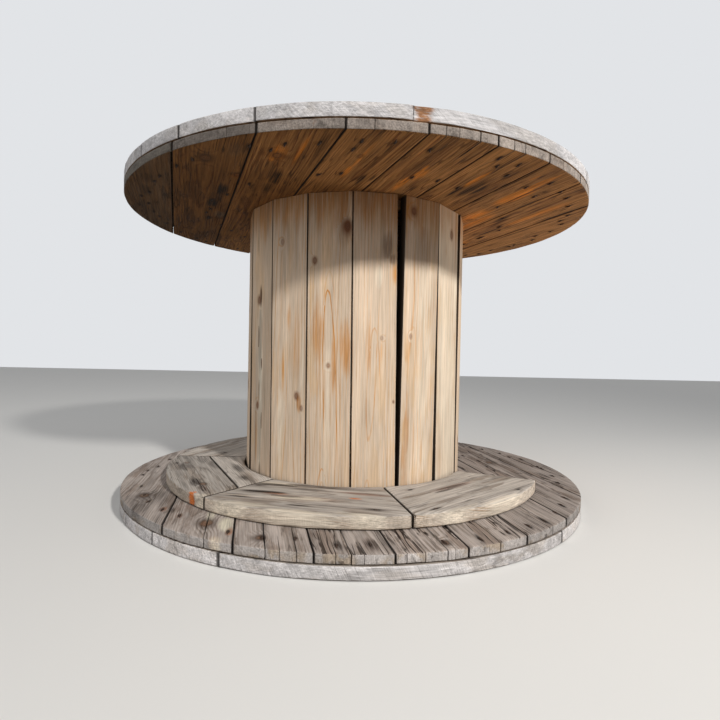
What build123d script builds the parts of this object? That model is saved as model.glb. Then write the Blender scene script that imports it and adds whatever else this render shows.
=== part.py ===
from build123d import *
from math import atan2, cos, degrees, radians, sin, sqrt, tan
import os

# A wooden cable drum that stands on its lower flange. Millimetres, +Z up.
# The origin is the centre of the lower flange's outer face. A compass angle is measured
# from -Y, the front of the drum, towards +X.

# Flanges: two crossed layers of boards each
flange_d = 1000.0
outer_board_t = 22.5
inner_board_t = 16.5
outer_boards = 10
inner_boards = 9
board_gap = 2.0
arbor_d = 80.0

# Each layer: the way its boards run, turned from +X, and how far they sit off the centre
lower_outer_grain = 11.5
lower_outer_offset = -14.0
lower_inner_grain = 101.5
lower_inner_offset = -18.0
upper_inner_grain = 110.0
upper_inner_offset = 21.0
upper_outer_grain = 20.0
upper_outer_offset = 0.8

# Barrel: bevelled staves, as long as the winding space
traverse = 579.0
barrel_d = 498.0
stave_count = 17
stave_seam = 4.5
stave_t = 24.0
stave_first_angle = -31.9

# The staves at the front have crept round the barrel as they shrank. For each of them:
# how far along the barrel its head and its foot moved, and how much narrower and thinner
# than the others it is.
odd_staves = {
    1: (-3.5, 2.4, 0.0, 0.0),
    2: (-6.1, -1.1, 0.0, 0.0),
    3: (-10.2, -4.1, 1.0, 0.0),
    4: (0.0, -3.7, 2.5, 0.0),
    5: (-4.2, 3.2, 0.0, 2.5),
    17: (-0.9, 6.5, 0.0, 0.0),
}
even_stave = (0.0, 0.0, 0.0, 0.0)

# Ring round the feet of the staves: mitred segments, one of them two boards, two lost
ring_d = 830.0
ring_t = 24.0
ring_segments = 7
ring_first_joint = 13.6
ring_joint_gap = 1.0
ring_clear = 1.5
two_board_segment = 6
two_board_joint = 306.5
lost_segments = (2, 3)

# Formers: a round of boards inside each end of the barrel
former_t = 22.5
former_clear = 0.3
former_boards = 4

# Tie rods with a washer and a nut at each end, sunk in the outer layers
rod_count = 4
rod_d = 10.0
rod_inset = 55.5
rod_first_angle = 29.0
rod_hole_clear = 0.75
thread_clear = 0.1
rod_proud = 3.0
washer_side = 30.0
washer_t = 3.0
nut_across_flats = 17.0
nut_h = 8.4
recess_clear = 1.0

# Levels of the seats, from the floor up
lower_seat = outer_board_t
lower_face = lower_seat + inner_board_t
upper_face = lower_face + traverse
upper_seat = upper_face + inner_board_t
top = upper_seat + outer_board_t

# What follows from those sizes
bevel = radians(180 / stave_count)
stave_w = barrel_d * sin(bevel) - stave_seam
stave_flat = sqrt((barrel_d / 2) ** 2 - (stave_w / 2) ** 2)
stave_back = stave_flat - stave_t
former_d = 2 * (stave_back - former_clear)
rod_circle_r = stave_back - rod_inset
rod_hole_r = rod_d / 2 + rod_hole_clear
recess_r = washer_side / sqrt(2) + recess_clear
square = 90

nodes = {}


def at_angle(compass, radius):
    """The point at a compass angle and a radius."""
    turn = radians(compass)
    return radius * sin(turn), -radius * cos(turn)


def upright(radius, low, height, x=0.0, y=0.0):
    """A round post on its end."""
    return Pos(x, y, low) * Cylinder(radius, height, align=(Align.CENTER, Align.CENTER, Align.MIN))


def rod_places():
    """Where the tie rods stand."""
    return [at_angle(rod_first_angle + k * 360 / rod_count, rod_circle_r) for k in range(rod_count)]


def round_of_boards(diameter, low, thick, grain, offset, count, hole_r):
    """Parallel boards cut to a round, with the arbor hole and a hole for each tie rod."""
    radius = diameter / 2
    width = diameter / count
    blank = upright(radius, low, thick) - upright(arbor_d / 2, low, thick)
    for x, y in rod_places():
        blank -= upright(hole_r, low, thick, x, y)
    boards = []
    for k in range(count):
        start = offset + k * width - radius + board_gap / 2 if k > 0 else -diameter
        end = offset + (k + 1) * width - radius - board_gap / 2 if k < count - 1 else diameter
        strip = Pos(0, (start + end) / 2, low) * Box(
            2 * diameter, end - start, thick, align=(Align.CENTER, Align.CENTER, Align.MIN)
        )
        boards.append(blank & (Rot(0, 0, grain) * strip))
    return boards


# Flange boards, from the floor up
layers = {
    "lower_outer_board": (0.0, outer_board_t, lower_outer_grain, lower_outer_offset, outer_boards, recess_r),
    "lower_inner_board": (
        lower_seat, inner_board_t, lower_inner_grain, lower_inner_offset, inner_boards, rod_hole_r
    ),
    "upper_inner_board": (
        upper_face, inner_board_t, upper_inner_grain, upper_inner_offset, inner_boards, rod_hole_r
    ),
    "upper_outer_board": (
        upper_seat, outer_board_t, upper_outer_grain, upper_outer_offset, outer_boards, recess_r
    ),
}
for layer, sizes in layers.items():
    for number, board in enumerate(round_of_boards(flange_d, *sizes), start=1):
        nodes[f"{layer}_{number:02d}"] = board

# Staves: each is a flat board with bevelled edges, leaned in its own plane, cut level
barrel_slab = upright(flange_d / 2, lower_face, traverse)
for number in range(1, stave_count + 1):
    head, foot, narrower, thinner = odd_staves.get(number, even_stave)
    half = (stave_w - narrower) / 2
    front = stave_flat - thinner
    back_half = half - (front - stave_back) * tan(bevel)
    section = Polygon(
        (front, -half), (front, half), (stave_back, back_half), (stave_back, -back_half), align=None
    )
    long_stave = extrude(section, traverse / 2 + stave_t, both=True)
    lean = degrees(atan2(head - foot, traverse))
    crept = degrees((head + foot) / 2 / stave_flat)
    compass = stave_first_angle + (number - 1) * 360 / stave_count + crept
    upended = Rot(0, 0, compass - square) * Rot(-lean, 0, 0) * long_stave
    placed = Pos(0, 0, (lower_face + upper_face) / 2) * upended
    nodes[f"stave_{number:02d}"] = placed & barrel_slab

# Ring segments: sawn to the round outside and to the barrel inside
ring_step = 360 / ring_segments
ring_blank = upright(ring_d / 2, lower_face, ring_t) - upright(barrel_d / 2 + ring_clear, lower_face, ring_t)
ring = []
for number in range(1, ring_segments + 1):
    if number in lost_segments:
        continue
    start = ring_first_joint + (number - 1) * ring_step
    middle = start + ring_step / 2
    reach = ring_d / cos(radians(ring_step / 2))
    wedge = Polygon((0, 0), at_angle(start, reach), at_angle(start + ring_step, reach), align=None)
    segment = ring_blank & (Pos(0, 0, lower_face) * extrude(wedge, ring_t))
    for joint_angle in (start, start + ring_step):
        x, y = at_angle(joint_angle, ring_d / 2)
        kerf = Box(ring_d, ring_joint_gap, ring_t, align=(Align.CENTER, Align.CENTER, Align.MIN))
        segment -= Pos(x, y, lower_face) * Rot(0, 0, joint_angle - square) * kerf
    if number == two_board_segment:
        x, y = at_angle(middle, two_board_joint)
        kerf = Box(ring_joint_gap, ring_d, ring_t, align=(Align.CENTER, Align.CENTER, Align.MIN))
        segment -= Pos(x, y, lower_face) * Rot(0, 0, middle - square) * kerf
    ring += segment.solids()
nodes["barrel_ring"] = Compound(ring)

# Formers: one on each flange's inner face, inside the staves
formers = []
for low, grain in ((lower_face, lower_outer_grain), (upper_face - former_t, upper_outer_grain)):
    formers += round_of_boards(former_d, low, former_t, grain, 0.0, former_boards, rod_hole_r)
nodes["barrel_formers"] = Compound([solid for board in formers for solid in board.solids()])

# Tie rods, washers and nuts
rod_end = washer_t + nut_h + rod_proud
rod_low = lower_seat - rod_end
rod_length = upper_seat + rod_end - rod_low
rods, washers, nuts = [], [], []
nut_blank = extrude(RegularPolygon(nut_across_flats / 2, 6, major_radius=False), nut_h)
nut = nut_blank - upright(rod_d / 2 + thread_clear, 0, nut_h)
washer_plate = Box(washer_side, washer_side, washer_t, align=(Align.CENTER, Align.CENTER, Align.MIN))
washer = washer_plate - upright(rod_hole_r, 0, washer_t)
for x, y in rod_places():
    rods.append(upright(rod_d / 2, rod_low, rod_length, x, y))
    for washer_low, nut_low in (
        (lower_seat - washer_t, lower_seat - washer_t - nut_h),
        (upper_seat, upper_seat + washer_t),
    ):
        washers.append(Pos(x, y, washer_low) * washer)
        nuts.append(Pos(x, y, nut_low) * nut)
nodes["tie_rods"] = Compound([solid for rod in rods for solid in rod.solids()])
nodes["plate_washers"] = Compound([solid for item in washers for solid in item.solids()])
nodes["rod_nuts"] = Compound([solid for item in nuts for solid in item.solids()])

os.makedirs("parts", exist_ok=True)
for name, shape in nodes.items():
    export_step(shape, f"parts/{name}.step")
print(len(nodes), "nodes, height", top)
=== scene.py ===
import bpy
import numpy as np
from mathutils import Matrix, Vector


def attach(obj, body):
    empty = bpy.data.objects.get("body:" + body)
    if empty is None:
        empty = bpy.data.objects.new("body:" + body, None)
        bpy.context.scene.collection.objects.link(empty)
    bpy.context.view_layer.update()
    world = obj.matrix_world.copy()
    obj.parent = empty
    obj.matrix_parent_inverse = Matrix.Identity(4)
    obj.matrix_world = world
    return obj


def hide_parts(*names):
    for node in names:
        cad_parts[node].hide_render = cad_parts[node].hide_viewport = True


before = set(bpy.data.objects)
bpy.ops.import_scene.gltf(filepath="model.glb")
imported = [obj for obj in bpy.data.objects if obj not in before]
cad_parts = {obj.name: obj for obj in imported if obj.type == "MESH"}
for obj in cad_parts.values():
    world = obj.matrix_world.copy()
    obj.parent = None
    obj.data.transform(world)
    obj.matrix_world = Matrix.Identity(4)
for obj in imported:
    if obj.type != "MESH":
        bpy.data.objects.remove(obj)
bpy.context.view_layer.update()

# The view is from half the drum's height and little more than a drum's width away, with a wide
# lens. The camera looks along +Y, about a degree off square each way: rolled to the left, tipped
# down and turned to the right, in this order.
view = bpy.data.objects.new("view", bpy.data.cameras.new("view"))
view.data.lens, view.data.sensor_width, view.data.clip_start = 24.4, 36, 0.02
eye, roll, tip, turn = (0, -1.166, 0.31575), 0.0205, -0.0152, -0.0115
rolled = Matrix.Rotation(np.pi / 2 + tip, 4, "X") @ Matrix.Rotation(roll, 4, "Z")
view.matrix_world = Matrix.Translation(eye) @ Matrix.Rotation(turn, 4, "Z") @ rolled
bpy.context.scene.collection.objects.link(view)
bpy.context.scene.camera = view


# Lower flange, outer layer: ten rough-sawn pine boards laid side by side on the floor and cut
# round after the two layers were nailed together, so a board's ends show end grain and the
# first and last boards show their long grain round the rim.
flange_r, arbor_r, recess_r, rod_circle_r = 0.5, 0.04, 0.0222, 0.1657
outer_t, board_gap, lower_outer_grain = 0.0225, 0.0014, 11.5
arbor = (0, 0, arbor_r)
recesses = [
    (rod_circle_r * np.sin(compass), -rod_circle_r * np.cos(compass), recess_r)
    for compass in np.radians([29, 119, 209, 299])
]


def in_metres(lengths, rows):
    """Rows of numbers whose first few are lengths in millimetres, with these made metres."""
    return [(*(n / 1000 for n in row[:lengths]), *row[lengths:]) for row in rows]


def nails_round(seed, radius, step, first, last):
    """Compass angle and radius of nails in a ring: a step apart from the first angle to the
    last, each moved at random by up to a third of a step, and by 9 mm in or out."""
    draw = np.random.default_rng(seed)
    angles = np.arange(first, last, step)
    angles = angles + draw.uniform(-step / 3, step / 3, len(angles))
    return np.stack([angles, radius + draw.uniform(-9, 9, len(angles))], 1)


def on_boards(nails, grain):
    """Nails given by compass angle and radius in millimetres, as places along and across boards
    whose grain is turned from +X, in metres."""
    turned = np.radians(nails[:, 0] - 90 - grain)
    return nails[:, 1:] / 1000 * np.stack([np.cos(turned), np.sin(turned)], 1)


lower_nails = np.concatenate([
    [(-66.5, 461), (-58, 461), (-52.5, 462), (-45, 460), (-39, 455), (-24, 462), (-16.5, 463), (-10.5, 453),
     (-2.5, 468), (3.5, 464), (17, 474), (24, 477), (31, 478), (37.5, 478), (43, 477), (49.5, 478),
     (56, 474), (62.5, 473), (77.5, 462)],
    nails_round(1, 464, 6.4, 85, 287), nails_round(2, 338, 9, 0, 355),
])


def drift(seed, *places):
    """A smooth, irregular value from -1 to 1: the mean of six sine waves of the places, each
    with its own seeded direction and phase."""
    draw = np.random.default_rng(seed)
    waves = [
        np.sin(draw.uniform(0, 2 * np.pi) + sum(draw.normal() * place for place in places))
        for _ in range(6)
    ]
    return sum(waves) / 6


def cut_lines(low, high, step, soft=0.0022):
    """Places of lattice lines from low to high: close to each end they crowd at 0, 0.35, 1 and
    2.6 times the soft edge's width, and between these they are a step apart."""
    ends = soft * np.array([0, 0.35, 1])
    count = max(2, int((high - low) / step))
    middle = np.linspace(low + 2.6 * soft, high - 2.6 * soft, count)
    return np.concatenate([low + ends, middle, high - ends[::-1]])


def rip_lines(low, high, step, cracks):
    """The lattice lines across a board, with three for each crack: its lips and its bottom.
    Returns each line's place, the number of its crack or -1, and its side of it. A plain line
    stays 3 mm away from a crack, unless it rounds the board's edge."""
    away = 0.003
    plain = cut_lines(low, high, step)
    edge = (plain < low + away) | (plain > high - away)
    clear = edge | np.array([all(abs(line - crack[0]) > away for crack in cracks) for line in plain])
    place = np.concatenate([plain[clear], np.repeat([c[0] for c in cracks], 3)])
    crack = np.concatenate([np.full(clear.sum(), -1), np.repeat(np.arange(len(cracks)), 3)]).astype(int)
    side = np.concatenate([np.zeros(clear.sum()), np.tile([-1, 0, 1], len(cracks))])
    order = np.lexsort((side, place))
    return place[order], crack[order], side[order]


def skin(wood):
    """The outside of the lattice cells that are wood: one quad for every cell side with wood on
    one side of it only, wound to face away from the wood. Returns the quads as numbers of
    lattice points."""
    size = np.array(wood.shape) + 1
    number = np.arange(size.prod()).reshape(size)
    quads = []
    for axis in range(3):
        cells = np.pad(np.moveaxis(wood, axis, 0), ((1, 1), (0, 0), (0, 0)))
        points = np.moveaxis(number, axis, 0)
        low, high = points[:, :-1], points[:, 1:]
        corners = np.stack([low[..., :-1], high[..., :-1], high[..., 1:], low[..., 1:]], -1)
        ends, starts = cells[:-1] & ~cells[1:], cells[1:] & ~cells[:-1]
        if axis == 1:
            ends, starts = starts, ends
        quads += [corners[ends], corners[starts][:, ::-1]]
    return np.concatenate(quads)


def near(places, u, v):
    """The place nearest to each quad's middle, out of some that each have a place along and
    across, a half length, a half width and a strength. Returns for each corner of each quad how
    far it is from that place, along and across, over the half length and half width, and the
    place's strength."""
    spare = 0.006
    if len(places) == 0:
        return np.stack([u * 0 + 20, u * 0 + 20, u * 0], -1)
    along, across, length, width, strength = np.array(places, float).T
    middle_u, middle_v = u.mean(1)[:, None], v.mean(1)[:, None]
    away = np.hypot((middle_u - along) / (length + spare), (middle_v - across) / (width + spare))
    along, across, length, width, strength = np.array(places, float)[away.argmin(1)].T[..., None]
    return np.stack([(u - along) / length, (v - across) / width, strength + 0 * u], -1)


def arch_lines(arches, u, v):
    """How far every quad's corners are outside the line of a growth ring that surfaces as an
    arch, below nought inside it, for the arch that passes nearest to the quad, and how strong
    that one is. From its tip, a place along and across, an arch opens with the square root of
    the distance until, after its length, it is its half width to each side. Its two legs run on
    straight, and have faded out at the end of its run. Its middle moves across by its lean for
    each metre. Below nought, length and run lead up the board."""
    nearest, strength = np.full(u.shape, 9.0), np.zeros(u.shape)
    for along, across, length, run, wide, lean, strong in arches:
        down = (along - u) / length
        off = abs(v - across - lean * (along - u)) - wide * np.sqrt(np.clip(down, 0, 1))
        off = np.where(down < 0, np.hypot(off, down * length), off)
        left = strong * np.clip(3 - 3 * (along - u) / run, 0, 1)
        closer = ((abs(off).mean(1) < abs(nearest).mean(1)) & (left.max(1) > 0))[:, None]
        nearest, strength = np.where(closer, off, nearest), np.where(closer, left, strength)
    return np.stack([nearest, strength, nearest * 0], -1)


def as_piece(name, mesh, finish):
    """Puts a mesh on the drum, with its finish, and smooth faces that meet in sharp corners."""
    mesh.materials.append(finish)
    mesh.shade_smooth()
    mesh.set_sharp_from_angle(angle=np.radians(50))
    piece = bpy.data.objects.new(name, mesh)
    bpy.context.scene.collection.objects.link(piece)
    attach(piece, "root")
    return piece


def wooden_piece(
    name, points, wood, grain, tone, joint, ragged, knots, nails, marks, arches, u, v, finish, slot, *nodes
):
    """Puts a lattice's skin into a mesh. Every point carries its place in the board's grain,
    measured from the pith, the board's own tone, how far it is from the joint with the next
    board and how ragged the board is. Every corner carries the nearest knot, nail, arch and
    stain of each kind."""
    quads = skin(wood)
    corners = u.ravel()[quads], v.ravel()[quads]
    used, quads = np.unique(quads, return_inverse=True)
    mesh = bpy.data.meshes.new(name)
    mesh.from_pydata(points.reshape(-1, 3)[used].tolist(), [], quads.reshape(-1, 4).tolist())
    tone = np.stack([np.full(u.shape, tone), joint, np.full(u.shape, ragged)], -1)
    nail_hole = 0.0075, 0.0032, 1
    fields = {
        "grain": grain.reshape(-1, 3)[used], "tone": tone.reshape(-1, 3)[used],
        "knot": near([(*k[:2], 1.5 * k[2], k[2], *(k[3:] or (1,))) for k in knots], *corners),
        "nail": near([(*n, *nail_hole) for n in nails], *corners),
        "arch": arch_lines(arches, *corners),
    }
    for kind, field in enumerate(("dark", "orange", "pale"), start=4):
        fields[field] = near([(*m[:4], m[kind]) for m in marks if len(m) > kind and m[kind] > 0], *corners)
    for field, values in fields.items():
        layer = mesh.attributes.new(field, "FLOAT_VECTOR", "POINT" if values.ndim == 2 else "CORNER")
        layer.data.foreach_set("vector", values.astype(np.float32).ravel())
    piece = as_piece(name, mesh, finish)
    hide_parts(*nodes)


def flat(grain, low):
    """Lays a board level: its grain is turned from +X, and its under face is at a height."""
    c, s = np.cos(np.radians(grain)), np.sin(np.radians(grain))
    return lambda u, v, w: np.stack([u * c - v * s, u * s + v * c, low + w], -1)


def board(
    name, seed, lay, thick, outline, step, finish, slot, node, cracks=(), knots=(), nails=(), marks=(),
    round_r=None, holes=(), soft=0.0022, loss=0.0005, pith=None, wild_knots=1.6, chips=(),
    open_sides=(0, 0), arches=(), tone=None, ragged=1.0,
):
    """A board from a lattice of points: along the grain, across it, and through it.

    An outline of two numbers is a board between those two lines with its ends on the circle
    round_r, and its lines run a share of the half chord at each place across. An outline of
    three arrays gives, for each place along, where the board starts and stops across; its
    lines keep to their place across and crowd up against the outline. Edges are rounded: how
    far a point is inside each of the three faces, where less than the soft edge, is scaled so
    that the three shortfalls lie on a sphere. Cracks open as grooves along the grain, and
    close again over their run-out. The long edges wave a little."""
    edge_wave, run_out, knots_apart = 0.0012, 0.05, 0.09
    draw = np.random.default_rng(seed)
    straight = len(outline) == 2
    first, last = outline if straight else (outline[1].min(), outline[2].max())
    place, crack, lip = rip_lines(first, last, step, cracks)
    if straight:
        share = cut_lines(-1, 1, 0.022, 0.0046)
        for along, across, r in holes:
            share = np.union1d(share, (along + np.arange(-r, r * 1.1, 0.005)) / round_r)
    else:
        share = outline[0]
    a, b, c = np.meshgrid(share, place, cut_lines(0, thick, thick), indexing="ij")
    line = np.broadcast_to(np.arange(len(place))[None, :, None], a.shape)
    crack, lip = crack[line], lip[line]
    if straight:
        u = a * np.sqrt(round_r**2 - b**2)
    else:
        start, stop = (edge[:, None, None] for edge in outline[1:])
        apart = np.minimum(0.0003, (stop - start) / (2 * len(place)))
        u, b = a, np.clip(b, start + apart * line, stop - apart * (len(place) - 1 - line))

    no_crack = (0, 9, 9.1, 0, 0)
    begins, ends, width, depth = np.array([*cracks, no_crack], float)[crack].transpose(3, 0, 1, 2)[1:]
    opening = np.clip(np.minimum(u - begins, ends - u) / run_out, 0, 1) ** 0.7 * (crack >= 0)
    middle, half = (first + last) / 2, (last - first) / 2
    across = np.clip((b - middle) / half, -1, 1)
    v = b + lip * width / 2 * opening + edge_wave * drift(seed, u * 16) * (1 - across**4)

    if straight:
        reach = np.hypot(u, v)
        end, side = np.maximum(round_r - reach, 0), np.minimum(v - first, last - v)
        joint = side
    else:
        v = np.clip(v, start, stop)
        slopes = (np.cos(np.arctan(np.gradient(edge, share)))[:, None, None] for edge in outline[1:])
        slope_low, slope_high = slopes
        end = 4 * np.minimum(u - u.min(), u.max() - u)
        from_low, from_high = (v - start) * slope_low, (stop - v) * slope_high
        side = np.minimum(from_low, from_high)
        joint = np.minimum(from_low + open_sides[0], from_high + open_sides[1])
    side, joint = np.maximum(side, 0), np.maximum(joint, 0)
    face = np.minimum(c, thick - c)
    uneven = 0.55 * drift(seed + 1, u * 45, v * 45, c * 90) + 0.35 * drift(seed + 2, u * 160, v * 160)
    rough = soft * (1 + uneven)
    short = np.maximum(rough[..., None] - np.stack([end, side, face], -1), 0)
    length = np.linalg.norm(short, axis=-1)
    fit = np.where(length > rough, rough / np.maximum(length, 1e-9), 1)
    from_end, from_side, from_face = np.moveaxis(short * (1 - fit[..., None]), -1, 0)

    groove = (lip == 0) * opening * depth
    near_end = np.clip(1 - end / run_out, 0, 1)
    if straight:
        eaten = loss * (0.5 + 0.5 * drift(seed + 4, v * 120, c * 60)) * near_end**8
        inward = from_end + eaten + groove * near_end + np.maximum(reach - round_r, 0)
        inward = inward / np.maximum(reach, 0.05)
        u2 = u * (1 - inward)
        v2 = v * (1 - inward) + np.where(v - first < last - v, 1, -1) * from_side
    else:
        eaten = loss * (0.5 + 0.5 * drift(seed + 4, u * 40, c * 60)) * np.clip(1 - side / 0.01, 0, 1)
        for chip_start, chip_stop, chip_depth in chips:
            left = np.clip((chip_stop - u) / (chip_stop - chip_start), 0, 1) * (u > chip_start)
            jagged = 0.7 + 0.3 * drift(seed + 5, u * 90, c * 200)
            eaten = eaten + chip_depth * left * np.clip(1 - side / 0.015, 0, 1) * jagged
        u2 = u - np.sign(u - (u.min() + u.max()) / 2) * (from_end + groove * near_end)
        inward = from_side + eaten
        v2 = v + np.where(from_low < from_high, inward / slope_low, -inward / slope_high)
    sunk = loss * (draw.uniform(0.5, 1.6) + 0.35 * drift(seed + 3, u * 9, v * 60)) + from_face
    w = c - (2 * c / thick - 1) * np.minimum(sunk, thick * 0.3)
    w = thick / 2 + (w - thick / 2) * (1 - np.clip(2 * groove / thick, 0, 0.85))

    wood = np.ones(np.array(a.shape) - 1, bool)
    for along, across, r in holes:
        mid_u, mid_v = ((p[:-1, :-1] + p[1:, :-1] + p[:-1, 1:] + p[1:, 1:])[..., 0] / 4 for p in (u2, v2))
        bored = np.hypot(mid_u - along, mid_v - across) < r
        wood &= ~bored[..., None]
        padded = np.pad(bored, 1, mode="edge")
        around = [padded[:-1, :-1], padded[1:, :-1], padded[:-1, 1:], padded[1:, 1:]]
        rim = (np.any(around, 0) & ~np.all(around, 0))[..., None]
        stretch = r / np.maximum(np.hypot(u2 - along, v2 - across), 1e-6)
        moved = ((u2, along), (v2, across))
        u2, v2 = (np.where(rim, centre + (p - centre) * stretch, p) for p, centre in moved)

    if pith is None:
        pith_across = draw.uniform(-0.7, 0.7) * half
        pith_deep = draw.uniform(0.012, 0.05) * draw.choice([-1, 1])
        pith = pith_across, pith_deep, *draw.uniform(-0.02, 0.02, 2), 0, 0
    pith_across, pith_deep = pith[0] + pith[2] * u, pith[1] + pith[3] * u + pith[4] * (u - pith[5]) ** 2
    grain = np.stack([u + 3.7 * (seed % 97), v - middle - pith_across, w - thick / 2 - pith_deep], -1)
    nails, marks, inside = ([p for p in found if first < p[1] < last] for found in (nails, marks, knots))
    for _ in range(draw.poisson(wild_knots)):
        spot = draw.uniform(u.min() * 0.8, u.max() * 0.8), middle + draw.uniform(-0.75, 0.75) * half
        if all(np.hypot(spot[0] - k[0], spot[1] - k[1]) > knots_apart for k in inside):
            radius = draw.uniform(0.003, 0.009)
            inside.append((*spot, radius, 0.4 + 65 * radius))
    wooden_piece(
        name, lay(u2, v2, w), wood, grain, draw.normal() if tone is None else tone, joint, ragged, inside,
        nails, marks, arches, u, v, finish, slot, node,
    )


def shade(red, green, blue):
    """A colour given as it looks on a screen, 0 to 255, as the linear colour that a shader takes."""
    part = np.array([red, green, blue]) / 255
    return (*np.where(part > 0.04045, ((part + 0.055) / 1.055) ** 2.4, part / 12.92), 1)


def blank_finish(name):
    """A material whose tree of shader nodes is still empty, and that tree."""
    finish = bpy.data.materials.new(name)
    finish.use_nodes = True
    finish.node_tree.nodes.clear()
    return finish, finish.node_tree


def put(tree, kind, inputs=None, **settings):
    """A shader node of a kind. An input takes a value, or another node's output."""
    made = tree.nodes.new("ShaderNode" + kind)
    for key, value in settings.items():
        setattr(made, key, value)
    for key, value in (inputs or {}).items():
        if isinstance(value, bpy.types.NodeSocket):
            tree.links.new(value, made.inputs[key])
        else:
            made.inputs[key].default_value = value
    return made


def follow(kind, inputs, **settings):
    """A node put into the tree that its inputs come from."""
    tree = next(value.id_data for value in inputs.values() if isinstance(value, bpy.types.NodeSocket))
    return put(tree, kind, inputs, **settings)


def coat(inputs):
    """Ends the tree that the inputs come from in a surface."""
    follow("OutputMaterial", {"Surface": follow("BsdfPrincipled", inputs).outputs[0]})


def bumps(height, strength, distance):
    return follow("Bump", {"Strength": strength, "Distance": distance, "Height": height}).outputs[0]


def maths(operation, *values):
    return follow("Math", dict(enumerate(values)), operation=operation).outputs[0]


def times(product, *factors):
    for factor in factors:
        product = maths("MULTIPLY", product, factor)
    return product


def scaled(value, factor, added):
    return maths("MULTIPLY_ADD", value, factor, added)


def swung(value, amount, about=1.0):
    """The middle value, about, which a noise swings by half the amount to either side."""
    return scaled(maths("SUBTRACT", value, 0.5), amount, about)


def between(value, low, high, start=0.0, stop=1.0):
    """A smooth step of a value: start below low, stop above high."""
    inputs = {"Value": value, "From Min": low, "From Max": high, "To Min": start, "To Max": stop}
    return follow("MapRange", inputs, interpolation_type="SMOOTHSTEP").outputs[0]


def hairlines(value, core, width):
    """1 along the lines where a noise passes its middle value, and 0 a width away from them."""
    return between(maths("ABSOLUTE", maths("SUBTRACT", value, 0.5)), core, width, 1, 0)


def mixed(share, under, over, how="MIX"):
    return follow("Mix", {0: share, 6: under, 7: over}, data_type="RGBA", blend_type=how).outputs[2]


def by_parts(vector, factors):
    """A vector with each of its three parts times its own factor."""
    return follow("VectorMath", {0: vector, 1: factors}, operation="MULTIPLY").outputs[0]


def length_of(vector):
    return follow("VectorMath", {0: vector}, operation="LENGTH").outputs["Value"]


def parts(vector):
    return follow("SeparateXYZ", {0: vector}).outputs


def noise(vector, factors, detail, roughness):
    stretched = by_parts(vector, factors)
    inputs = {"Vector": stretched, "Scale": 1.0, "Detail": detail, "Roughness": roughness}
    return follow("TexNoise", inputs).outputs


def three_noises(vector, factors, detail, roughness):
    return follow("SeparateColor", {0: noise(vector, factors, detail, roughness)["Color"]}).outputs


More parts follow.
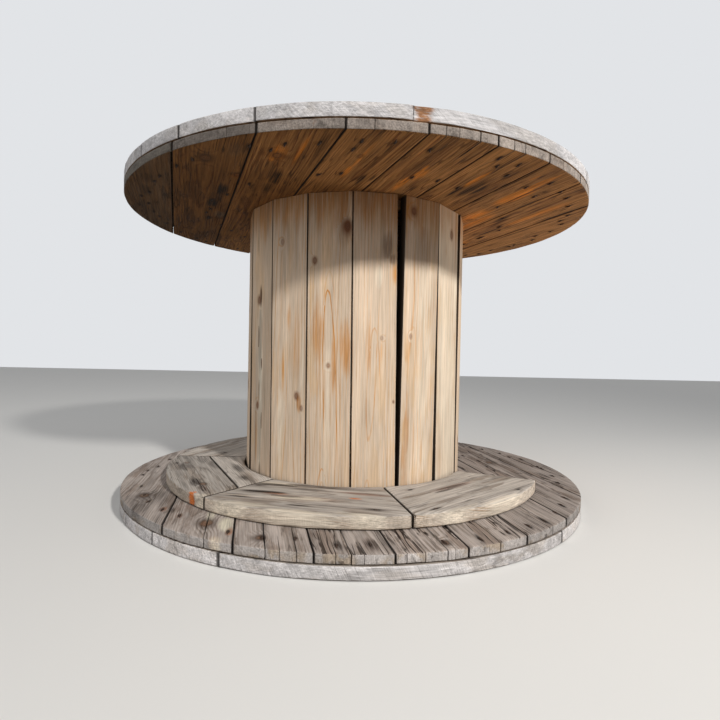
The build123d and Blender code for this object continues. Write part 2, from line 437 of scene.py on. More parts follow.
def pine(
    name, top, edge=None, under=None, ring=0.0035, line=0.8, end_line=0.3, relief=1.0, hatch=0.7, lean=0.1,
    streaks=0.6, checks=0.8, rim_checks=0.4, fibres=1.0, patches=0.85, joints=0.85, thin=0.25, solid=0.7,
    knots=((92, 62, 42), (122, 86, 58)), knot_edge=(52, 36, 26), orange=(166, 104, 58), dark=(44, 35, 29),
    pale=(206, 198, 178),
):
    """Pine with its growth rings, fibres, knots and stains. top, edge and under are the colours
    of the faces that look up, sideways and down: for each the early wood, the darker late wood
    and the blotches. A ring's phase is the distance from the pith over the ring's width, bent
    by a slow noise and drawn round each knot, late wood is the dark end of each phase, and each
    ring has a strength of its own. Hairline checks are where a noise drawn out along the grain
    passes its middle value. The saw has left lines down the edges, leaned over."""
    edge, under = edge or top, under or top
    finish, tree = blank_finish(name)

    def carried(field):
        return put(tree, "Attribute", attribute_name=field).outputs["Vector"]

    grain, own = carried("grain"), parts(carried("tone"))
    slow = three_noises(grain, (2.2, 13, 13), 2.5, 0.55)
    patch = three_noises(grain, (8, 34, 34), 4, 0.6)
    fibre = three_noises(grain, (11, 420, 420), 3, 0.7)
    streak = three_noises(grain, (4, 85, 85), 3, 0.6)
    split = three_noises(grain, (7, 95, 95), 1, 0.5)
    facing = parts(put(tree, "TexCoord").outputs["Normal"])[2]
    looks_up, looks_down = between(facing, 0.3, 0.8), between(facing, -0.3, -0.8)
    level = maths("MAXIMUM", looks_up, looks_down)
    sideways = maths("SUBTRACT", 1.0, level)

    def away(field, roughened, amount):
        """How far the nearest place of a field is, roughened, and its strength."""
        found = carried(field)
        return swung(roughened, amount, length_of(by_parts(found, (1, 1, 0)))), parts(found)[2]

    knot_far, knot_strong = away("knot", patch[1], 1.6)
    in_knot = times(between(knot_far, 0.7, 1.25, 1, 0), knot_strong)
    knot_rim = times(between(knot_far, 0.5, 0.9), between(knot_far, 0.9, 2.2, 1, 0), knot_strong)

    bent = scaled(slow[0], 0.016, length_of(by_parts(grain, (0, 1, 1))))
    bent = scaled(between(knot_far, 0.6, 3.6, 1, 0), 0.007, bent)
    bent = scaled(streak[0], 0.0022, bent)
    turns = maths("DIVIDE", bent, ring)
    phase = maths("FRACT", turns)
    of_ring = scaled(own[0], 57.3, maths("FLOOR", turns))
    bold = put(tree, "TexWhiteNoise", {"W": of_ring}, noise_dimensions="1D").outputs["Value"]
    strength = scaled(between(patch[2], 0.38, 0.62), line, 0.3 * line)
    strength = times(strength, scaled(sideways, end_line - 1, 1.0), scaled(bold, 0.9, 0.3))
    late = times(between(phase, thin, 0.85), between(phase, 0.9, 1.0, 1, 0), strength)

    def by_face(which):
        both = mixed(looks_up, shade(*edge[which]), shade(*top[which]))
        return mixed(looks_down, both, shade(*under[which]))

    colour = mixed(late, by_face(0), by_face(1))
    blotch = times(between(patch[0], 0.47, 0.6), between(slow[1], 0.42, 0.56), patches)
    colour = mixed(blotch, colour, by_face(2))

    def stained(field, tint, roughened, under_it):
        """A colour with the stains of a field on it, ragged, and thinner on some fibres."""
        far, strength = away(field, roughened, 2.0)
        share = times(between(swung(patch[0], 1.0, far), 0.35, 1.3, 1, 0), strength)
        share = times(share, between(fibre[1], 0.3, 0.62, 0.4, 1.15))
        return mixed(share, under_it, shade(*tint))

    arch = parts(carried("arch"))
    off_arch = maths("ABSOLUTE", swung(streak[0], 0.003, arch[0]))
    arch_line = times(between(off_arch, 0.0003, 0.0017, 1, 0), arch[1])
    arch_line = times(arch_line, between(patch[1], 0.38, 0.56, 0.35, 1.1))
    colour = mixed(arch_line, colour, shade(*orange))
    colour = stained("orange", orange, streak[2], colour)
    colour = stained("pale", pale, patch[2], colour)
    grey = times(swung(fibre[0], 1.5 * fibres), swung(slow[2], 0.7))
    grey = times(grey, swung(streak[2], 0.8 * fibres))

    across, back, high = parts(put(tree, "TexCoord").outputs["Object"])[:3]
    leaned = put(tree, "CombineXYZ", {0: scaled(high, lean, across), 1: back, 2: times(high, 0.05)})
    sawn = three_noises(leaned.outputs[0], (460, 460, 460), 3, 0.7)
    broad = three_noises(leaned.outputs[0], (75, 75, 75), 3, 0.6)
    saw_mark = swung(broad[0], 0.7, maths("SUBTRACT", sawn[0], 0.5))
    grey = scaled(times(sideways, saw_mark), hatch, grey)
    grey = times(grey, scaled(own[0], 0.08, 1.0))
    greys = put(tree, "CombineColor", {0: grey, 1: grey, 2: grey}).outputs[0]
    colour = mixed(1.0, colour, greys, "MULTIPLY")

    dirt = times(between(streak[1], 0.52, 0.66), between(patch[1], 0.4, 0.6, 0.2, 1), own[2])
    colour = mixed(times(dirt, streaks), colour, shade(*dark))
    hair = times(hairlines(split[0], 0.01, 0.045), between(patch[0], 0.48, 0.56), level)
    hair = times(hair, own[2], checks)
    rise = times(hairlines(broad[1], 0.004, 0.03), between(sawn[2], 0.46, 0.56), sideways)
    rise = times(rise, between(slow[1], 0.45, 0.55), rim_checks)
    check = maths("MAXIMUM", hair, rise)
    colour = mixed(check, colour, shade(*dark))
    colour = stained("dark", dark, streak[0], colour)

    rings_in = between(maths("SINE", times(knot_far, 19.0)), -1, 1)
    knot_wood = mixed(rings_in, shade(*knots[0]), shade(*knots[1]))
    colour = mixed(times(in_knot, solid), colour, knot_wood)
    colour = mixed(times(knot_rim, 0.8 * solid), colour, shade(*knot_edge))
    nail_far = away("nail", streak[1], 0.5)[0]
    core, halo = between(nail_far, 0.6, 1.2, 0.92, 0), between(nail_far, 0.8, 2.2, 0.32, 0)
    colour = mixed(times(maths("MAXIMUM", core, halo), level), colour, shade(34, 26, 21))
    # Near black within 1.8 mm of a joint and on the faces inside it: dirt in the seams, and painted shade in
    # the gaps.
    colour = mixed(between(own[1], 0.0, 0.0018, joints, 0), colour, shade(28, 21, 17))

    height = scaled(fibre[1], 0.0006 * relief, times(late, 0.0003 * relief))
    height = scaled(streak[1], 0.0012 * relief, height)
    height = scaled(times(sawn[0], sideways), 0.0008 * relief, height)
    dips = scaled(check, 0.0009, times(knot_rim, 0.0005 * relief))
    height = maths("SUBTRACT", height, dips)
    coat({
        "Base Color": colour, "Roughness": between(fibre[2], 0.2, 0.8, 0.72, 0.92),
        "Normal": bumps(height, 1.0, 1.0), "Specular IOR Level": 0.15,
    })
    return finish


def round_of_boards(
    layer, nodes, count, low, thick, grain, offset, finish, slot, cracks=(), knots=(), nails=(), marks=(),
    round_r=flange_r, holes=(), seed=0, gaps=board_gap, chips=(), step=0.0085, tones=None, raggeds=None,
    **wear,
):
    """The boards of one layer, from one side of the round to the other. A crack is its place
    across, where it starts and stops along, its width and its depth; a knot its place along and
    across and its radius; a nail its place; a mark its place, its half length and half width,
    and how dark, orange and pale it is. Places along and across are from the drum's centre."""
    width = 2 * round_r / count
    c, s = np.cos(np.radians(grain)), np.sin(np.radians(grain))
    gaps = np.broadcast_to(gaps, count - 1)
    bored = [(x * c + y * s, y * c - x * s, r) for x, y, r in holes]
    for number in range(1, count + 1):
        start = offset + (number - 1) * width - round_r + gaps[max(number - 2, 0)] / 2
        stop = offset + number * width - round_r - gaps[min(number - 1, count - 2)] / 2
        whole = 1 < number < count
        if whole:
            outline = start, stop
        else:
            inner = stop if number == 1 else start
            chord = np.sqrt(round_r**2 - inner**2) - 0.0008
            along = cut_lines(-chord, chord, 0.011)
            arc, inner = np.sqrt(round_r**2 - along**2), np.full(along.shape, inner)
            outline = (along, -arc, inner) if number == 1 else (along, inner, arc)
        name = f"{layer}_{number:02d}"
        board(
            name + "_wood", seed + number, flat(grain, low), thick, outline, step, finish, slot,
            nodes or name, [c for c in cracks if start + 0.005 < c[0] < stop - 0.005], knots, nails, marks,
            round_r, [h for h in bored if whole and start - h[2] < h[1] < stop + h[2]],
            chips=chips if number == 1 else (), open_sides=(9 * (number == 1), 9 * (number == count)),
            tone=tones and tones[number - 1], ragged=raggeds[number - 1] if raggeds else 1.0, **wear,
        )


dry_brown = (142, 116, 90), (104, 80, 58), (110, 90, 70)
lower_outer_finish = pine(
    "lower_outer_pine",
    ((150, 140, 130), (112, 100, 90), (126, 114, 104)),
    ((213, 208, 206), (182, 174, 168), (182, 170, 158)),
    dry_brown, rim_checks=0.3, lean=0.5, hatch=0.75, patches=0.5, streaks=0.35,
)
round_of_boards(
    "lower_outer_board", None, 10, 0.0, outer_t, lower_outer_grain, -0.014, lower_outer_finish,
    "flange_boards", cracks=in_metres(5, [
        (-465, -80, 50, 1, 3), (-330, -500, -310, 1.5, 4), (50, -500, -300, 1.6, 5), (350, 200, 500, 1.6, 5),
        (-250, 320, 500, 1.6, 5),
    ]),
    nails=on_boards(lower_nails, lower_outer_grain), holes=[arbor] + recesses, seed=100,
    tones=[None, None, -1.0, -1.6, -1.6] + [None] * 5,
)

# Lower flange, inner layer: nine boards laid across the outer ones and nailed down to them.
# Their upper faces have greyed in the weather, and most have split where they meet the rim.
inner_t, lower_inner_grain = 0.0165, 101.5
lower_inner_finish = pine(
    "lower_inner_pine",
    ((166, 155, 147), (122, 110, 100), (130, 115, 104)),
    ((168, 161, 156), (130, 120, 112), (154, 138, 120)),
    dry_brown,
)
round_of_boards(
    "lower_inner_board", None, 9, outer_t, inner_t, lower_inner_grain, -0.018, lower_inner_finish,
    "flange_boards", cracks=in_metres(5, [
        (303, -600, -260, 3.4, 7.5), (275, -600, -420, 1.2, 4), (215, -600, 300, 3, 7.5),
        (195, -600, -400, 1.4, 5), (172, -600, -360, 1.6, 6), (119, -600, -420, 1.4, 5),
        (98, -600, 100, 2.4, 7.5), (80, -600, -430, 1, 4), (21, -600, -400, 1.4, 5),
        (-6, -600, -440, 1.4, 5), (-40, -600, -50, 2, 7.5), (-52, -600, -450, 1, 4),
        (-130, -600, 200, 2, 7.5), (-250, -600, -100, 2.2, 7.5), (-335, -450, -100, 1.4, 4),
        (340, 100, 600, 2, 6), (0, 350, 600, 1.8, 6), (-220, 300, 600, 1.8, 6),
    ]),
    knots=in_metres(3, [(-333, 304, 11), (-410, 222, 7), (-471, -46, 6), (-163, 432, 8)]),
    nails=on_boards(lower_nails, lower_inner_grain), holes=[arbor], seed=200,
    tones=[-1.9, -1.7, -0.9, 1.3, 2.1, 1.8, 1.1, 0.9, 0.9],
    raggeds=[1.3, 1.2, 1.2, 1.3, 1.3, 1.1, 0.45, 0.35, 0.35],
    marks=in_metres(4, [
        (-95, 451, 6, 6, 0, 0.3, 0.8), (-163, 432, 9, 5, 0, 0.1, 1.2), (-203, 415, 6, 6, 0, 0.4, 0.6),
        (-190, 430, 50, 45, 0.4), (-252, 384, 12, 7, 0.3, 0.5), (-261, 366, 18, 6, 0.8),
        (-291, 350, 14, 7, 0.4, 0.4), (-333, 304, 16, 8, 0.5, 0.3), (-376, 267, 14, 5, 0.2, 0.7),
        (-410, 217, 14, 6, 0.9, 0.1), (-420, 169, 7, 4, 1), (-454, 112, 16, 6, 0.8),
        (-460, 63, 22, 12, 0.7, 0.1), (-437, -161, 20, 3, 0.9), (-450, -150, 14, 3, 0.9),
        (-465, -105, 20, 4, 0.8), (-430, -209, 18, 4, 0.8), (-406, -250, 18, 4, 0.8),
        (-375, -296, 18, 4, 0.8), (-339, -331, 16, 4, 0.9), (-297, -368, 16, 4, 0.9),
        (-189, -422, 16, 4, 0.9), (-276, 300, 70, 8, 0, 0, 0.7), (-344, 274, 30, 14, 0, 0, 0.9),
        (-410, 285, 20, 10, 0, 0.35, 0.6), (-238, 424, 45, 16, 0.6), (-173, 409, 50, 18, 0.55),
    ]),
)

# Formers: a round of four boards on each flange's inner face, inside the barrel, that the
# staves are nailed to. They are out of the weather and keep the colour of sawn pine.
traverse, former_r, upper_outer_grain = 0.579, 0.2209, 20
lower_face = outer_t + inner_t
upper_face = lower_face + traverse
sawn_pine = (176, 140, 102), (140, 100, 64), (150, 116, 82)
former_finish = pine("former_pine", sawn_pine, sawn_pine, ((160, 124, 90), (126, 88, 56), (134, 102, 72)))
for end, low, grain, seed in (
    ("lower", lower_face, lower_outer_grain, 500), ("upper", upper_face - outer_t, upper_outer_grain, 520)
):
    round_of_boards(
        f"{end}_former", "barrel_formers", 4, low, outer_t, grain, 0.0, former_finish, "former_boards",
        round_r=former_r, holes=[arbor], seed=seed, soft=0.0014, step=0.02,
    )

# Barrel: seventeen planed pine staves with bevelled edges, stood between the flanges and
# nailed to the formers. Those at the front have shrunk and crept, which has opened a wedge.
barrel_r, stave_count, stave_t, stave_seam = 0.249, 17, 0.024, 0.0045
first_stave = np.radians(-31.9)
bevel = np.pi / stave_count
stave_w = 2 * barrel_r * np.sin(bevel) - stave_seam
stave_flat = np.sqrt(barrel_r**2 - stave_w**2 / 4)
# In millimetres: how far a stave's head and foot have crept, and how much narrower and thinner it is.
crept = {
    1: (-3.5, 2.4, 0, 0), 2: (-6.1, -1.1, 0, 0), 3: (-10.2, -4.1, 1, 0), 4: (0, -3.7, 2.5, 0),
    5: (-4.2, 3.2, 0, 2.5), 17: (-0.9, 6.5, 0, 0),
}


def standing(compass, front, half, shift):
    """Stands a stave up: its grain runs up from the lower flange, across is towards the next
    stave, and through it is inwards from its flat front, narrowing with the bevel. Its head
    leans over by the shift."""
    s, c = np.sin(compass), np.cos(compass)

    def lay(u, v, w):
        v = v * (half - w * np.tan(bevel)) / half + shift * (u / traverse - 0.5)
        out = front - w
        return np.stack([out * s + v * c, v * s - out * c, lower_face + u], -1)

    return lay


stave_finish = pine(
    "stave_pine", ((198, 178, 156), (184, 138, 92), (196, 164, 126)),
    ring=0.0055, thin=0.6, line=0.6, end_line=1.0, relief=0.3, hatch=0.04, streaks=0.16, checks=0.0,
    rim_checks=0.0, fibres=0.65, patches=0.5, joints=0.9, knots=((78, 44, 28), (116, 70, 44)),
    knot_edge=(110, 68, 42), solid=0.9, orange=(186, 126, 58), dark=(92, 66, 48), pale=(216, 204, 184),
)
stave_knots = {
    1: [(492, -17, 3.5, 0.5), (190, 21, 4, 0.8), (167, 33, 2.5, 0.6)],
    2: [(514, 34, 7.5, 1), (450, -29, 3.8, 0.8), (251, -1, 3, 0.6)],
    3: [(305, 14, 2.5, 0.4), (184, 38, 1.8, 0.7)],
    4: [(552, -22, 5.5, 0.8), (310, -22, 2.5, 0.5)],
    5: [(527, 13, 5, 0.8)],
    17: [(382, -11, 5, 0.8), (162, -14, 4, 0.8)],
}
stave_arches = {
    1: [(6, -19, -120, -300, 11, -0.02, 0.5)],
    2: [(395, -3, 120, 360, 12.5, 0.028, 1), (430, 0, 350, 420, 27, 0, 0.35), (54, -11, 50, 60, 11, 0, 0.9),
        (30, -11, 40, 50, 6, 0, 0.6)],
    3: [(107, -10, -70, -300, 7.8, -0.04, 0.6), (325, -1, 50, 120, 9, 0.03, 0.6),
        (37, -12, 30, 45, 5.5, 0, 0.9)],
    4: [(330, -16, 100, 200, 12, 0, 0.35)],
}
stave_marks = {
    1: [(239, -13, 45, 3, 0, 0.8), (265, 33.5, 90, 6, 0, 0, 0.4), (290, 20, 70, 14, 0, 0.3),
        (100, -20, 100, 10, 0, 0, 0.5), (340, 0, 30, 6, 0, 0.5), (177, 27, 16, 6, 0.2, 0.8),
        (490, 0, 90, 30, 0.18)],
    2: [(285, 30, 45, 13, 0, 0.7), (310, -22, 55, 13, 0, 0.6), (255, 10, 60, 4, 0, 0.7),
        (140, -2, 130, 7, 0, 0, 0.45), (500, 34, 30, 15, 0.3, 0.2)],
    3: [(476, 24, 30, 12, 0.6), (455, 34, 12, 10, 0.6), (428, 37, 22, 6, 0, 0.8), (420, 8, 20, 6, 0, 0, 0.6),
        (290, -12, 50, 6, 0, 0.4), (280, 14, 30, 4, 0, 0.5)],
    4: [(81, 11, 30, 3, 0, 0.8), (481, 7, 50, 30, 0.25, 0, 0.1), (290, 4, 50, 4, 0, 0.4),
        (300, 10, 300, 20, 0, 0, 0.4)],
    5: [(250, 0, 350, 60, 0, 0, 0.6)],
    17: [(390, -4, 20, 7, 0.9), (290, -4, 90, 9, 0, 0, 1.1), (110, -4, 100, 9, 0, 0, 1.1),
        (340, -6, 30, 5, 0, 1), (300, -5, 70, 7, 0.4), (100, -5, 80, 7, 0.4), (305, -11, 30, 3, 0.8),
        (250, 2, 12, 2, 0.9), (190, -8, 28, 3, 0.8), (170, -7, 14, 5, 0, 1), (130, 3, 20, 2, 0.8),
        (30, -3, 20, 4, 0.7)],
}
# Every stave's head, under the upper flange, is darkened and browned: painted shade and painted brown bounce
# light from the flange's underside, with some brown stain.
head_stain_and_shade = (585, 0, 70, 70, 0.12, 0.7)
# Where the pith runs, from the middle of a stave: across and behind, how much more of both for
# each metre up, and how strongly and about which height it bows.
stave_pith = {
    1: (-0.012, 0.022, 0.01, 0.012, 0, 0), 2: (-0.002, -0.0305, 0.004, 0.0042, 0.02, 0.1),
    3: (0.001, -0.0265, 0.006, 0.0, 0.028, 0.3), 4: (-0.03, -0.04, 0.004, 0.004, 0, 0),
    5: (0.05, 0.03, -0.004, 0.01, 0, 0), 17: (-0.02, -0.03, 0.01, 0.006, 0, 0),
}
stave_tones = {1: 1.0, 2: -0.5, 3: 0.0, 4: -0.5, 5: -0.5, 17: 1.5}
for number in range(1, stave_count + 1):
    head, foot, narrower, thinner = np.array(crept.get(number, (0, 0, 0, 0))) / 1000
    half = (stave_w - narrower) / 2
    compass = first_stave + (number - 1) * 2 * bevel + (head + foot) / 2 / stave_flat
    fine = number in stave_arches
    along = cut_lines(0, traverse, 0.005 if fine else 0.011, 0.0012)
    flats = np.full(along.shape, half)
    board(
        f"stave_{number:02d}_wood", 600 + number, standing(compass, stave_flat - thinner, half, head - foot),
        stave_t - thinner, (along, -flats, flats), 0.004 if fine else 0.0075, stave_finish, "staves",
        f"stave_{number:02d}", knots=in_metres(3, stave_knots.get(number, [])), soft=0.0012, loss=0.0002,
        marks=in_metres(4, stave_marks.get(number, []) + [head_stain_and_shade]), pith=stave_pith.get(number),
        arches=in_metres(5, stave_arches.get(number, [])), wild_knots=0 if number in stave_knots else 1.4,
        tone=stave_tones.get(number), ragged={17: 2.0, 1: 1.2}.get(number, 0.5),
    )

# Ring: mitred segments laid round the staves' feet and nailed to the flange. It had seven; two
# are lost, at the right and behind it, and one is two boards edge to edge. The tops have
# greyed, and the sawn edge has stayed paler.
ring_r, ring_bore, ring_t, half_segment = 0.415, 0.2505, 0.024, np.pi / 7
ring_finish = pine(
    "ring_pine",
    ((179, 171, 162), (134, 123, 112), (151, 138, 125)),
    ((183, 171, 157), (150, 125, 100), (180, 166, 150)),
    dry_brown, line=0.6, end_line=1.1, ring=0.003, rim_checks=0.0, hatch=0.12, streaks=0.4, checks=0.4,
    orange=(206, 118, 62), pale=(207, 195, 177),
)
# The way each board's grain is turned, and how near the centre and how far out it reaches.
ring_boards = {
    "front_right": (39.314, 0, 1), "back": (193.6, 0, 1), "back_left": (245.029, 0, 1),
    "left_outer": (-63.543, 0.307, 1), "left_inner": (-63.543, 0, 0.306), "front": (-12.114, 0, 1),
}
ring_cracks = {
    "front": [(-349, -180, -55, 2.2, 5), (-312, -80, 50, 1.6, 4), (-385, 20, 100, 1, 2)],
    "left_outer": [(-359, 110, 200, 1.6, 4)],
    "back": [(-330, -200, 0, 1.6, 4)],
    "front_right": [(-300, -140, -50, 1, 3)],
    "back_left": [(-360, -50, 200, 1.8, 5)],
}
ring_knots = {"left_outer": [(97, -361, 5)]}
ring_nails = {
    "front_right": [(-128, -375), (87, -392), (-83, -273)], "front": [(120, -366), (-120, -280)],
    "left_outer": [(-100, -385)], "back": [(100, -300), (-100, -380)],
    "back_left": [(100, -300), (-100, -380)],
}
ring_marks = {
    "left_inner": [(0, -270, 40, 13, 0.7), (80, -280, 30, 11, 0.8)],
    "front": [(-90, -321, 50, 9, 1), (-70, -322, 30, 5, 0, 0.8), (-47, -334, 30, 5, 0.7, 0.2),
        (86, -285, 50, 8, 0.6, 0.3), (74, -316, 12, 4, 0, 1), (-10, -338, 55, 11, 0, 0.15, 1.3),
        (-9, -376, 22, 3, 0.9), (117, -366, 22, 5, 0.8), (-122, -355, 28, 5, 0.9), (-4, -263, 100, 7, 0.7),
        (-26, -284, 50, 5, 0.6), (-100, -268, 70, 8, 0.8), (-164, -308, 30, 20, 0, 0, 0.5),
        (0, -408, 70, 11, 0, 0, 1), (105, -398, 50, 10, 0, 0, 0.8), (-110, -393, 60, 16, 0, 0, 1),
        (-85, -262, 60, 10, 0, 0, 0.8)],
    "front_right": [(0, -306, 50, 9, 0.8, 0.2), (0, -410, 60, 8, 0, 0, 0.7), (-100, -400, 50, 8, 0, 0, 0.7),
        (-32, -313, 30, 5, 0.8), (-128, -375, 18, 3, 0.8)],
    "left_outer": [(78, -370, 34, 11, 1), (125, -366, 26, 8, 1, 0.2), (-58, -375, 35, 18, 0.6),
        (-54, -313, 35, 10, 0.5), (-110, -330, 30, 10, 0.4), (146, -392, 9, 14, 0, 1.6),
        (170, -380, 14, 20, 0, 0, 0.9)],
}
for seed, (where, (grain, nearest, farthest)) in enumerate(ring_boards.items(), start=700):
    rounded = farthest > ring_r
    half_chord = ring_r * np.sin(half_segment) if rounded else farthest * np.tan(half_segment)
    reach, bore_corner = half_chord - 0.0015, ring_bore * np.sin(half_segment)
    along = np.union1d(cut_lines(-reach, reach, 0.009), [-bore_corner, bore_corner])
    mitre = -(abs(along) * np.cos(half_segment) + 0.0005) / np.sin(half_segment)
    bore = -np.sqrt(np.maximum(ring_bore**2 - along**2, 0))
    outer = -np.sqrt(ring_r**2 - along**2) if rounded else np.full(along.shape, -farthest)
    board(
        f"ring_{where}", seed, flat(grain, lower_face), ring_t,
        (along, outer, np.minimum(np.minimum(mitre, bore), -nearest)), 0.0075, ring_finish, "ring_boards",
        "barrel_ring", in_metres(5, ring_cracks.get(where, [])),
        in_metres(3, ring_knots.get(where, [])), in_metres(2, ring_nails.get(where, [])),
        in_metres(4, ring_marks.get(where, [])), soft=0.0036, wild_knots=0.8, open_sides=(9 * rounded, 0),
    )

# Upper flange, inner layer: nine pine boards, laid crossways under the outer ones. Their under
# faces are out of the rain and have kept their brown, with streaks of resin and black stain.
upper_inner_grain = 110
upper_nails = np.concatenate([
    [(-49, 460), (-40.5, 462), (-35, 462), (-20.5, 464), (-17.5, 442), (-13.5, 460), (-7, 458), (-1, 436),
     (0.5, 461), (6.5, 464), (13.5, 452), (27.5, 470), (30, 444), (33, 468), (36, 423), (46, 420), (47, 461),
     (54, 414), (54.5, 457), (-36, 336), (-12, 333), (-5, 335), (16, 335), (24, 343), (33, 333), (59, 333),
     (75, 331)],
    nails_round(3, 462, 6.1, 61, 308), nails_round(4, 336, 9, 84, 318),
])
upper_inner_finish = pine(
    "upper_inner_pine",
    dry_brown,
    ((136, 126, 118), (107, 96, 88), (121, 107, 96)),
    ((178, 128, 78), (122, 80, 46), (112, 76, 48)),
    line=0.9, thin=0.35, rim_checks=0.5, hatch=0.6, streaks=0.45, checks=0.5, fibres=1.2, patches=0.6,
    orange=(232, 146, 62), dark=(26, 19, 15),
)
round_of_boards(
    "upper_inner_board", None, 9, upper_face, inner_t, upper_inner_grain, 0.021, upper_inner_finish,
    "flange_boards", nails=on_boards(upper_nails, upper_inner_grain), holes=[arbor], seed=300,
    cracks=in_metres(5, [
        (348, -600, -300, 1.4, 5), (337, -600, -320, 1.6, 5), (307, -600, -380, 1.6, 5),
        (151, -600, -440, 1.4, 5), (51, -600, -440, 1.4, 5), (31, -600, -460, 1, 4),
        (-3, -600, -420, 2.4, 7), (-65, -600, -430, 1.4, 5), (-88, -600, -400, 1.6, 6),
    ]),
    knots=in_metres(3, [(-282, 360, 9), (-226, 305, 6), (-336, 257, 7)]),
    # The tones brighten the boards at the right and darken them steadily towards the left: painted light and
    # painted shade on the underside.
    tones=[3.2, 2.9, 2.3, 1.6, 0.8, 0.0, -1.9, -5.6, -7.6],
    marks=in_metres(4, [
        (-133, 322, 35, 12, 1), (-38, 332, 30, 12, 1), (-220, 305, 14, 10, 0, 0.9), (-323, 336, 20, 4, 0.7),
        (46, 310, 30, 14, 0, 0, 0.25), (79, 332, 16, 6, 0.8), (-336, 257, 35, 14, 0, 0.8),
        (-307, 251, 20, 8, 0.4, 0.3), (-365, 227, 60, 4, 0, 0.9), (-238, 241, 45, 10, 0.9),
        (-181, 243, 35, 10, 0.7), (-320, 135, 30, 5, 0, 0.8), (-385, 134, 60, 4, 0, 0.7),
        (-292, 102, 30, 8, 1), (-307, 85, 26, 4, 0.8), (-426, 107, 30, 3, 0.6), (-451, 49, 20, 4, 0.7),
        (-300, 28, 40, 8, 0, 0.8), (-355, 18, 30, 10, 0, 0.9), (-379, 23, 20, 4, 0, 0.9),
        (-291, -2, 22, 7, 0.6), (-462, -4, 20, 2, 0.8), (-368, -83, 35, 5, 0, 1.3), (-305, -83, 35, 5, 1),
        (-323, -101, 55, 9, 0.9), (-329, -118, 45, 8, 1), (-289, -149, 30, 6, 0.8), (-382, -150, 80, 3, 0.8),
        (-344, -209, 100, 1.8, 0.8), (-426, -174, 12, 2, 0.8), (-183, -205, 60, 16, 0, 0.9),
        (-319, -200, 60, 15, 0, 1.1), (-395, -196, 40, 7, 0, 0.9), (-134, -238, 70, 12, 0, 0.7),
        (-420, -167, 20, 4, 0, 0.6), (-303, -253, 60, 4, 0.9), (-190, -272, 30, 5, 0.7),
        (-360, -267, 25, 3, 0.8), (-280, -298, 25, 2, 0.6), (-295, -345, 12, 2, 0.8),
        (-80, -315, 60, 4, 0.9), (-265, -365, 60, 4, 0.9), (-100, -380, 100, 3, 0.7),
        (-275, -320, 60, 12, 0, 0.6), (-200, -320, 80, 10, 0, 0.6), (-146, 450, 30, 10, 0.5),
        (-72, 459, 30, 10, 0.5), (-333, 320, 30, 10, 0.4, 0, 0.1), (-92, 414, 30, 12, 0, 0.2, 0.4),
        (-50, 430, 500, 110, 0, 0, 0.2), (100, -330, 80, 15, 0, 0.7), (250, 200, 60, 20, 0.8),
        (300, -100, 80, 15, 0, 0.8), (330, 50, 60, 12, 0.9),
    ]),
)

# Upper flange, outer layer: ten more pine boards, square to those below them. The first two, at
# the front, lie tight together, a slit has opened behind them, and the edge has lost a chip.
upper_seat = upper_face + inner_t
upper_outer_finish = pine(
    "upper_outer_pine",
    ((158, 148, 136), (118, 106, 94), (132, 120, 106)),
    ((184, 181, 181), (162, 156, 152), (166, 158, 150)),
    dry_brown, rim_checks=0.2, lean=1.0, hatch=0.75, patches=0.4, streaks=0.25, orange=(142, 102, 72),
)
round_of_boards(
    "upper_outer_board", None, 10, upper_seat, outer_t, upper_outer_grain, 0.0008, upper_outer_finish,
    "flange_boards", nails=on_boards(upper_nails, upper_outer_grain), holes=[arbor] + recesses, seed=400,
    gaps=[0.0004, 0.0022] + [board_gap] * 7, chips=[(-0.098, -0.05, 0.004)],
    # The dark line where the chip starts is a painted shadow of its step; the orange beside it is the fresh
    # wood that the chip bared.
    marks=in_metres(4, [(-86, -490, 13, 30, 0, 1.1), (-98.5, -490, 1.2, 30, 0.9)]),
)

# Tie rods, plate washers and nuts: zinc-plated steel gone dull, with rust in the low places.
# Four rods hold the flanges together through the formers.
steel, tree = blank_finish("dull_zinc")
place = put(tree, "TexCoord").outputs["Object"]
spangle = noise(place, (220, 220, 220), 3, 0.6)["Fac"]
rust = between(noise(place, (60, 60, 60), 3, 0.65)["Fac"], 0.47, 0.6)
zinc = mixed(between(spangle, 0.3, 0.7), shade(142, 144, 144), shade(170, 171, 169))
rusty = mixed(between(spangle, 0.35, 0.65), shade(96, 54, 30), shade(142, 84, 44))
coat({
    "Base Color": mixed(rust, zinc, rusty),
    "Normal": bumps(spangle, 0.5, 0.001),
    "Metallic": between(rust, 0.0, 1.0, 0.85, 0.1), "Roughness": between(rust, 0.0, 1.0, 0.42, 0.85),
})
for node in ("tie_rods", "plate_washers", "rod_nuts"):
    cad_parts[node].data.materials.clear()
    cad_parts[node].data.materials.append(steel)

# Nails: driven in rings from the outer face of each flange, through both layers, and clenched
# over along the grain where their points come out. Plain iron, rusted brown and black.
nail_iron, tree = blank_finish("nail_iron")
scale = noise(put(tree, "TexCoord").outputs["Object"], (900, 900, 900), 3, 0.6)["Fac"]
coat({
    "Base Color": mixed(between(scale, 0.4, 0.62), shade(38, 30, 26), shade(84, 60, 46)),
    "Normal": bumps(scale, 0.6, 0.0005),
    "Metallic": 0.3, "Roughness": 0.75,
})


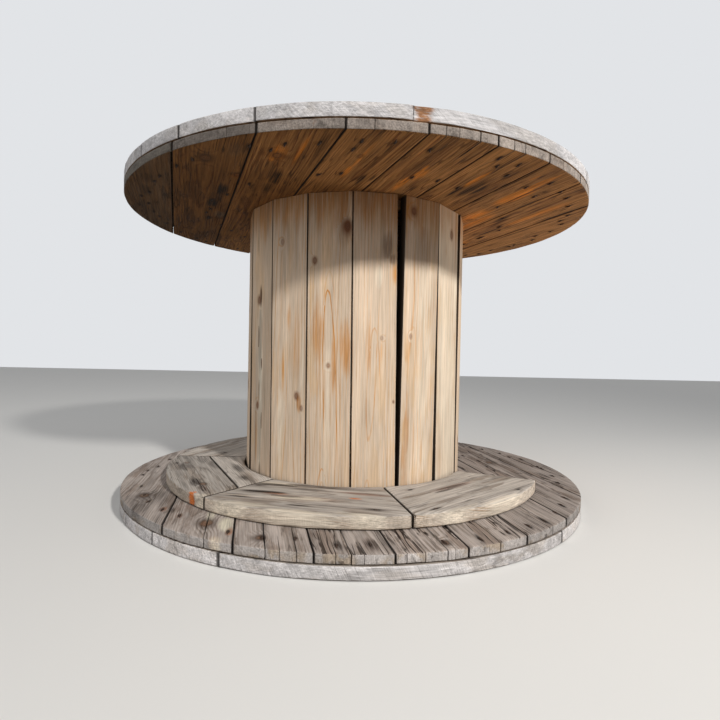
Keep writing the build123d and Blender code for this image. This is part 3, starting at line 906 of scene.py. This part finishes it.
def nail_set(name, section, places, directions, height, facing):
    """One mesh of many nails. A nail is a section of rings, each with its distance along, its
    height above the wood, its radius and how far it is tipped up: a ring is a circle of eight
    points, level when not tipped and across the nail's run when fully tipped. The whole is
    turned to its direction, set at its place and faced up or down, and its ends are closed."""
    turns = np.arange(8) * np.pi / 4
    along, rise, radius, tipped = np.array(section).T[:, :, None]
    one = np.stack([
        along + (1 - tipped) * radius * np.cos(turns), radius * np.sin(turns) + 0 * along,
        rise - tipped * radius * np.cos(turns),
    ], -1).reshape(-1, 3)
    c, s = np.cos(directions)[:, None], np.sin(directions)[:, None]
    points = np.stack([
        places[:, :1] + one[:, 0] * c - one[:, 1] * s, places[:, 1:] + one[:, 0] * s + one[:, 1] * c,
        height + facing * one[:, 2] + 0 * c,
    ], -1)
    ring, step = np.arange(len(section) - 1)[:, None] * 8, np.arange(8)
    after = (step + 1) % 8
    sides = np.stack([ring + step, ring + after, ring + after + 8, ring + step + 8], -1).reshape(-1, 4)
    ends = np.stack([step[::-1], step + 8 * (len(section) - 1)])
    faces = []
    for nail in range(len(places)):
        for group in (sides, ends):
            faces += (group[:, ::facing] + nail * len(one)).tolist()
    mesh = bpy.data.meshes.new(name)
    mesh.from_pydata(points.reshape(-1, 3).tolist(), [], faces)
    piece = as_piece(name, mesh, nail_iron)


head_section = in_metres(3, [
    (0, -2, 1.2, 0), (0, -0.6, 3.8, 0), (0, 0.1, 4, 0), (0, 0.4, 3, 0), (0, 0.4, 0.8, 0),
])
point_section = in_metres(3, [
    (0, -3, 1.3, 0), (0, -0.2, 1.3, 0.3), (1.2, 0.7, 1.3, 0.9), (6, 0.6, 1.3, 1), (11, -0.2, 0.4, 1),
])
# The ring hides the points under it: they are made beyond it and where its segments are lost.
beyond_ring, lost_middle, lost_half = 425, 116.7, 48
head_sunk, point_sunk, ring_head_sunk = 0.0005, 0.0003, 0.0008
for flange, nails, outer_face, inner_face, grain, facing in (
    ("lower", lower_nails, head_sunk, lower_face - point_sunk, lower_inner_grain, 1),
    ("upper", upper_nails, upper_seat + outer_t - head_sunk, upper_face + point_sunk, upper_inner_grain, -1),
):
    draw = np.random.default_rng(len(nails))
    turned = np.radians(nails[:, 0])
    places = nails[:, 1:] / 1000 * np.stack([np.sin(turned), -np.cos(turned)], 1)
    lying = np.radians(grain) + draw.normal(0, 0.25, len(nails)) + np.pi * draw.integers(0, 2, len(nails))
    nail_set(f"{flange}_nail_heads", head_section, places, lying, outer_face, -facing)
    clear = (nails[:, 1] > beyond_ring) | (abs(nails[:, 0] - lost_middle) < lost_half) | (flange == "upper")
    nail_set(f"{flange}_nail_points", point_section, places[clear], lying[clear], inner_face, facing)
ring_places = np.concatenate([
    flat(ring_boards[where][0], 0)(*np.array(in_metres(2, nails)).T, 0 * np.arange(len(nails)))[:, :2]
    for where, nails in ring_nails.items()
])
ring_face = lower_face + ring_t - ring_head_sunk
nail_set("ring_nail_heads", head_section, ring_places, np.zeros(len(ring_places)), ring_face, 1)


# Light and floor: one small lamp, high at the front right, that throws the upper flange's
# shadow on the staves, a wide soft one at the left, and a faint low one for the underside.
def lamp(name, place, aim, size, power, colour=(1, 1, 1), spread=180):
    """A round lamp at a place, turned to what it lights."""
    data = bpy.data.lights.new(name, "AREA")
    data.shape, data.size, data.energy, data.color = "DISK", size, power, colour
    data.spread = np.radians(spread)
    made = bpy.data.objects.new(name, data)
    made.location = place
    made.rotation_euler = (Vector(place) - Vector(aim)).to_track_quat("Z", "Y").to_euler()
    made.visible_camera = False
    bpy.context.scene.collection.objects.link(made)


lamp("key", (1.84, -2.84, 2.12), (0, 0, 0.3), 0.3, 24.8, (1, 0.985, 0.96), 80)
lamp("fill", (-2.6, -2.4, 1.2), (0, 0, 0.3), 2.6, 32)
lamp("low", (1.9, 0.55, 0.06), (0.1, 0, 0.62), 0.7, 4, (1, 0.93, 0.84), 60)


def seen_plainly(tree):
    """1 for a ray from the camera, or from a surface that mirrors or lets it through, and 0 for
    a ray that gathers soft light."""
    ray = put(tree, "LightPath").outputs
    through = maths("MAXIMUM", ray["Is Glossy Ray"], ray["Is Transmission Ray"])
    return maths("MAXIMUM", ray["Is Camera Ray"], through)


floor_finish, tree = blank_finish("studio_floor")
floor_colour = mixed(seen_plainly(tree), shade(102, 97, 91), shade(226, 224, 220))
coat({"Base Color": floor_colour, "Roughness": 0.9})
floor_mesh = bpy.data.meshes.new("studio_floor")
floor_mesh.from_pydata([(-6, -6, 0), (6, -6, 0), (6, 6, 0), (-6, 6, 0)], [], [(0, 1, 2, 3)])
floor_mesh.materials.append(floor_finish)
floor = bpy.data.objects.new("studio_floor", floor_mesh)
bpy.context.scene.collection.objects.link(floor)

world = bpy.data.worlds.new("soft_daylight")
bpy.context.scene.world = world
world.use_nodes = True
tree = world.node_tree
backdrop = tree.nodes["Background"].inputs
backdrop[0].default_value = (0.95, 0.97, 1, 1)
tree.links.new(between(seen_plainly(tree), 0, 1, 0.38, 0.8), backdrop[1])
bpy.context.scene.view_settings.view_transform = "Standard"
